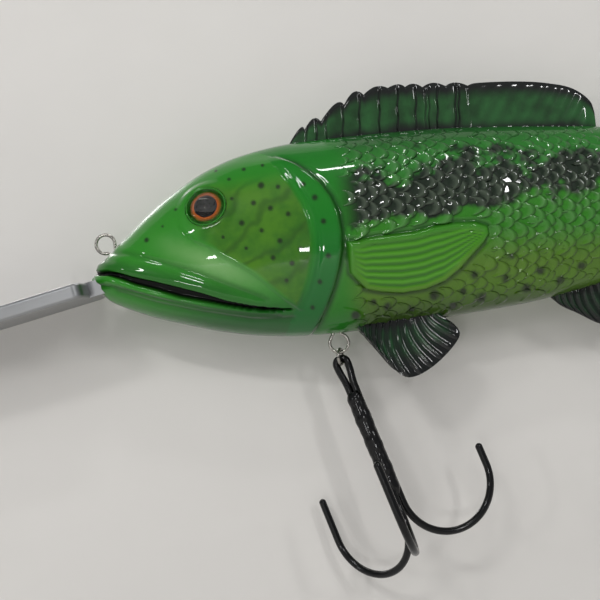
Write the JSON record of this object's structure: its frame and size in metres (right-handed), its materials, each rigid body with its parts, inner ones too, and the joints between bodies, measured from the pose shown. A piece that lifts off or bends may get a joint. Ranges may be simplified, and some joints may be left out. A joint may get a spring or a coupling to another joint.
{
  "type": "swimbait",
  "caption": "Large hard fish-shaped lure with a metal diving bib, blunt treble hooks on link rings, relief scales and a hinged tail section.",
  "frame": {"origin": "centre of the line-tie eye above the nose", "axes": "+X towards the tail, +Y towards the fish's right side, +Z towards its back"},
  "size_m": [0.4322, 0.0757, 0.2149],
  "materials": {
    "body_paint": "airbrushed green over dark bars under thick gloss clear coat",
    "fin_paint": "dark green and charcoal, semi-gloss",
    "bib_metal": "satin aluminium plate",
    "eye_wire": "bright stainless wire",
    "hook_black": "black coated steel wire",
    "eye_glass": "clear polished dome",
    "iris_paint": "black pupil in a rust-orange iris",
    "weight_lead": "dull cast metal",
    "rattle_brass": "plain brass",
    "pin_steel": "plain steel"
  },
  "bodies": {
    "trunk": {"left_trunk_shell": "body_paint", "right_trunk_shell": "body_paint", "bib": "bib_metal", "bib_pins": "pin_steel", "line_tie_eye": "eye_wire", "front_hook_hanger": "eye_wire", "upper_hinge_eye": "pin_steel", "lower_hinge_eye": "pin_steel", "dorsal_fin": "fin_paint", "anal_fin": "fin_paint", "left_pelvic_fin": "fin_paint", "right_pelvic_fin": "fin_paint", "left_eye_iris": "iris_paint", "right_eye_iris": "iris_paint", "left_eye_dome": "eye_glass", "right_eye_dome": "eye_glass", "front_weight": "weight_lead", "middle_weight": "weight_lead", "rattle_tube": "rattle_brass", "rattle_caps": "rattle_brass", "seam_dowels": "pin_steel"},
    "tail_section": {"left_tail_shell": "body_paint", "right_tail_shell": "body_paint", "hinge_pin": "pin_steel", "rear_hook_hanger": "eye_wire", "tail_fin": "fin_paint"},
    "front_ring": {"front_link_ring": "eye_wire"},
    "front_hook": {"front_hook_double": "hook_black", "front_hook_single": "hook_black"},
    "rear_ring": {"rear_link_ring": "eye_wire"},
    "rear_hook": {"rear_hook_double": "hook_black", "rear_hook_single": "hook_black"},
    "rattle": {"rattle_balls": "pin_steel"}
  },
  "joints": [
    {"name": "tail_swing", "type": "hinge", "parent": "trunk", "child": "tail_section", "pos_m": [0.24998, 0, -0.0034], "axis": [0, 0, 1], "range_deg": [-32, 32]},
    {"name": "front_ring_sway", "type": "hinge", "parent": "trunk", "child": "front_ring", "pos_m": [0.0966, 0, -0.05738], "axis": [1, 0, 0], "range_deg": [-40, 40]},
    {"name": "front_hook_swing", "type": "hinge", "parent": "front_ring", "child": "front_hook", "pos_m": [0.0966, 0, -0.06263], "axis": [0.342, 0.9397, 0], "range_deg": [-25, 50]},
    {"name": "rear_ring_sway", "type": "hinge", "parent": "tail_section", "child": "rear_ring", "pos_m": [0.26876, 0, -0.03046], "axis": [1, 0, 0], "range_deg": [-35, 35]},
    {"name": "rear_hook_swing", "type": "hinge", "parent": "rear_ring", "child": "rear_hook", "pos_m": [0.26876, 0, -0.03571], "axis": [0.342, 0.9397, 0], "range_deg": [-45, 28]},
    {"name": "rattle_slide", "type": "slide", "parent": "trunk", "child": "rattle", "axis": [1, 0, 0], "range_m": [-0.00867, 0.00867]}
  ]
}
